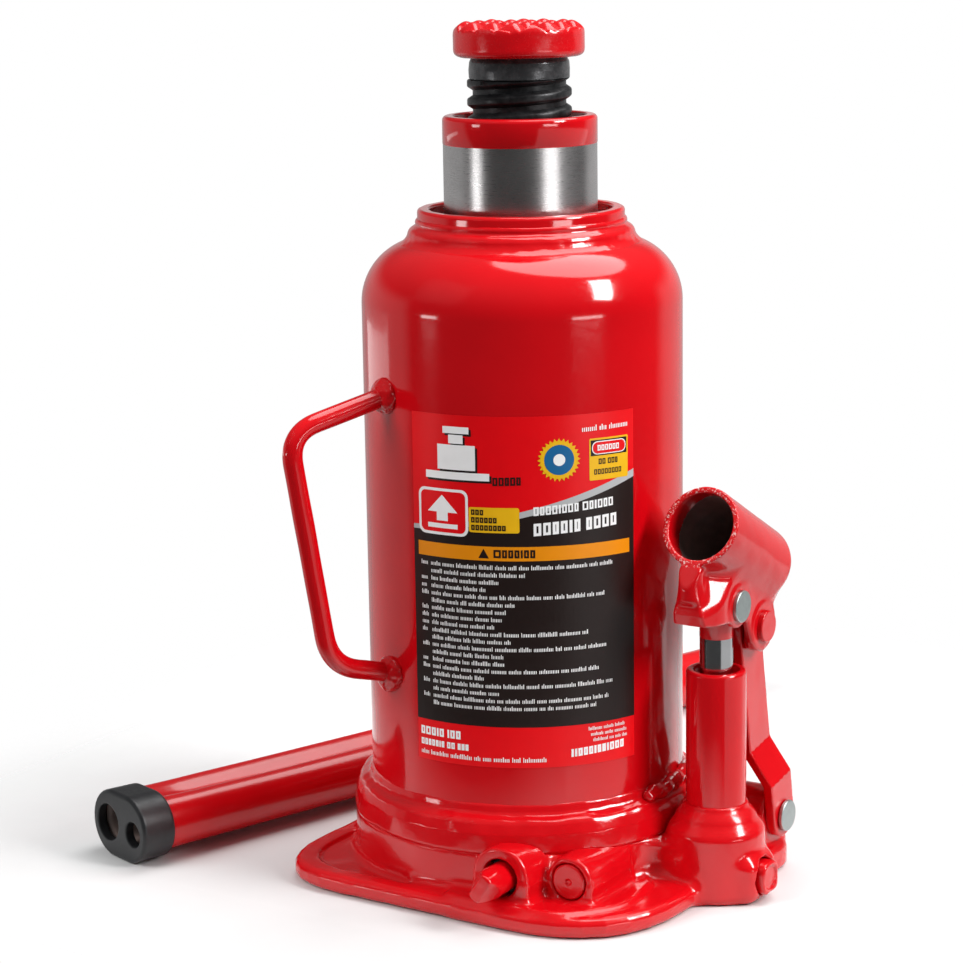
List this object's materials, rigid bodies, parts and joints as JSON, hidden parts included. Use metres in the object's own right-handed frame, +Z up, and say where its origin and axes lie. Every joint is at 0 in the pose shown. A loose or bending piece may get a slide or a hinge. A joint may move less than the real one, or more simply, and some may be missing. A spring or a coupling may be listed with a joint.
{
  "type": "hydraulic bottle jack",
  "caption": "Hand-pumped hydraulic bottle jack with round reservoir, sliding ram, extension screw with saddle, pump linkage, release valve and a loose pump handle.",
  "frame": {"origin": "on the ground, on the ram's axis, at the base's underside", "axes": "+Z up along the ram, +X towards the hand pump, -Y towards the front face with the release valve"},
  "size_m": [0.2246, 0.2947, 0.2806],
  "materials": {
    "red_enamel": "glossy red enamel, brushed and sprayed thick over cast and welded steel",
    "ground_steel": "ground and polished hard steel",
    "plain_steel": "machined, lightly oiled",
    "zinc_plate": "dull zinc plate",
    "black_oxide": "black oxide with oil, worn bright on the thread crests",
    "bronze": "machined bearing bronze",
    "copper": "soft copper washer",
    "rubber": "oil-resistant black rubber",
    "black_plastic": "moulded, faint satin",
    "label_film": "printed adhesive film"
  },
  "bodies": {
    "jack_body": {"base_casting": "red_enamel", "base_weld_bead": "red_enamel", "reservoir_tank": "red_enamel", "top_weld_bead": "red_enamel", "top_nut": "red_enamel", "ram_wiper": "rubber", "ram_guide_ring": "bronze", "pressure_cylinder": "plain_steel", "cylinder_gasket": "copper", "carry_handle": "red_enamel", "handle_weld_upper": "red_enamel", "handle_weld_lower": "red_enamel", "rating_label": "label_film", "oil_filler_plug": "rubber", "pump_cylinder": "red_enamel", "pump_gasket": "copper", "side_plug": "red_enamel", "discharge_spring": "plain_steel", "relief_valve_plug": "red_enamel", "relief_valve_spring": "plain_steel", "intake_strainer": "plain_steel", "suction_ball": "ground_steel", "discharge_ball": "ground_steel", "relief_valve_ball": "ground_steel"},
    "ram": {"ram": "ground_steel", "piston_guide_ring": "bronze", "piston_cup": "rubber", "piston_nut": "plain_steel"},
    "screw_stop": {"screw_stop_ring": "plain_steel"},
    "screw": {"extension_screw": "black_oxide", "saddle": "red_enamel"},
    "plunger": {"pump_plunger": "ground_steel", "plunger_cup": "rubber"},
    "link": {"link_plate_right": "red_enamel", "link_plate_left": "red_enamel", "fulcrum_pin": "zinc_plate", "fulcrum_pin_clip": "zinc_plate"},
    "socket": {"handle_socket": "red_enamel", "plunger_pin": "zinc_plate", "plunger_pin_clip": "zinc_plate", "link_pin": "red_enamel", "link_pin_clip": "zinc_plate"},
    "release_seat": {"spindle_seal": "rubber", "release_ball": "ground_steel"},
    "release_spindle": {"release_spindle": "red_enamel"},
    "pump_handle": {"pump_handle_tube": "red_enamel", "pump_handle_cap": "black_plastic"}
  },
  "joints": [
    {"name": "ram_lift", "type": "slide", "parent": "jack_body", "child": "ram", "axis": [0, 0, 1], "range_m": [-0.0207, 0.1293]},
    {"name": "screw_advance", "type": "slide", "parent": "ram", "child": "screw_stop", "axis": [0, 0, 1], "range_m": [-0.0186, 0.0416]},
    {"name": "screw_turn", "type": "hinge", "parent": "screw_stop", "child": "screw", "pos_m": [0, 0, 0.2], "axis": [0, 0, 1], "range_deg": [-1110, 2490]},
    {"name": "plunger_stroke", "type": "slide", "parent": "jack_body", "child": "plunger", "axis": [0, 0, 1], "range_m": [-0.0103, 0.002]},
    {"name": "link_swing", "type": "hinge", "parent": "jack_body", "child": "link", "pos_m": [0.072, 0.0293, 0.0189], "axis": [1, 0, 0], "range_deg": [-3, 0.6]},
    {"name": "pump_stroke", "type": "hinge", "parent": "link", "child": "socket", "pos_m": [0.072, 0.017, 0.0866], "axis": [1, 0, 0], "range_deg": [-7, 36]},
    {"name": "release_advance", "type": "slide", "parent": "jack_body", "child": "release_seat", "axis": [0, -1, 0], "range_m": [0, 0.0023]},
    {"name": "release_turn", "type": "hinge", "parent": "release_seat", "child": "release_spindle", "pos_m": [0.027, -0.061, 0.015], "axis": [0, -1, 0], "range_deg": [0, 540]},
    {"name": "pump_handle_pick_up", "type": "slide", "parent": "jack_body", "child": "pump_handle", "axis": [0, 0, 1], "range_m": [0, 0.1]}
  ],
  "couplings": [
    {"joint": "screw_advance", "follows": "screw_turn", "m_per_rad": 0.00095493},
    {"joint": "plunger_stroke", "follows": "pump_stroke", "m_per_rad": -0.0162},
    {"joint": "link_swing", "follows": "pump_stroke", "ratio": -0.0822},
    {"joint": "release_advance", "follows": "release_turn", "m_per_rad": 0.00023873}
  ]
}
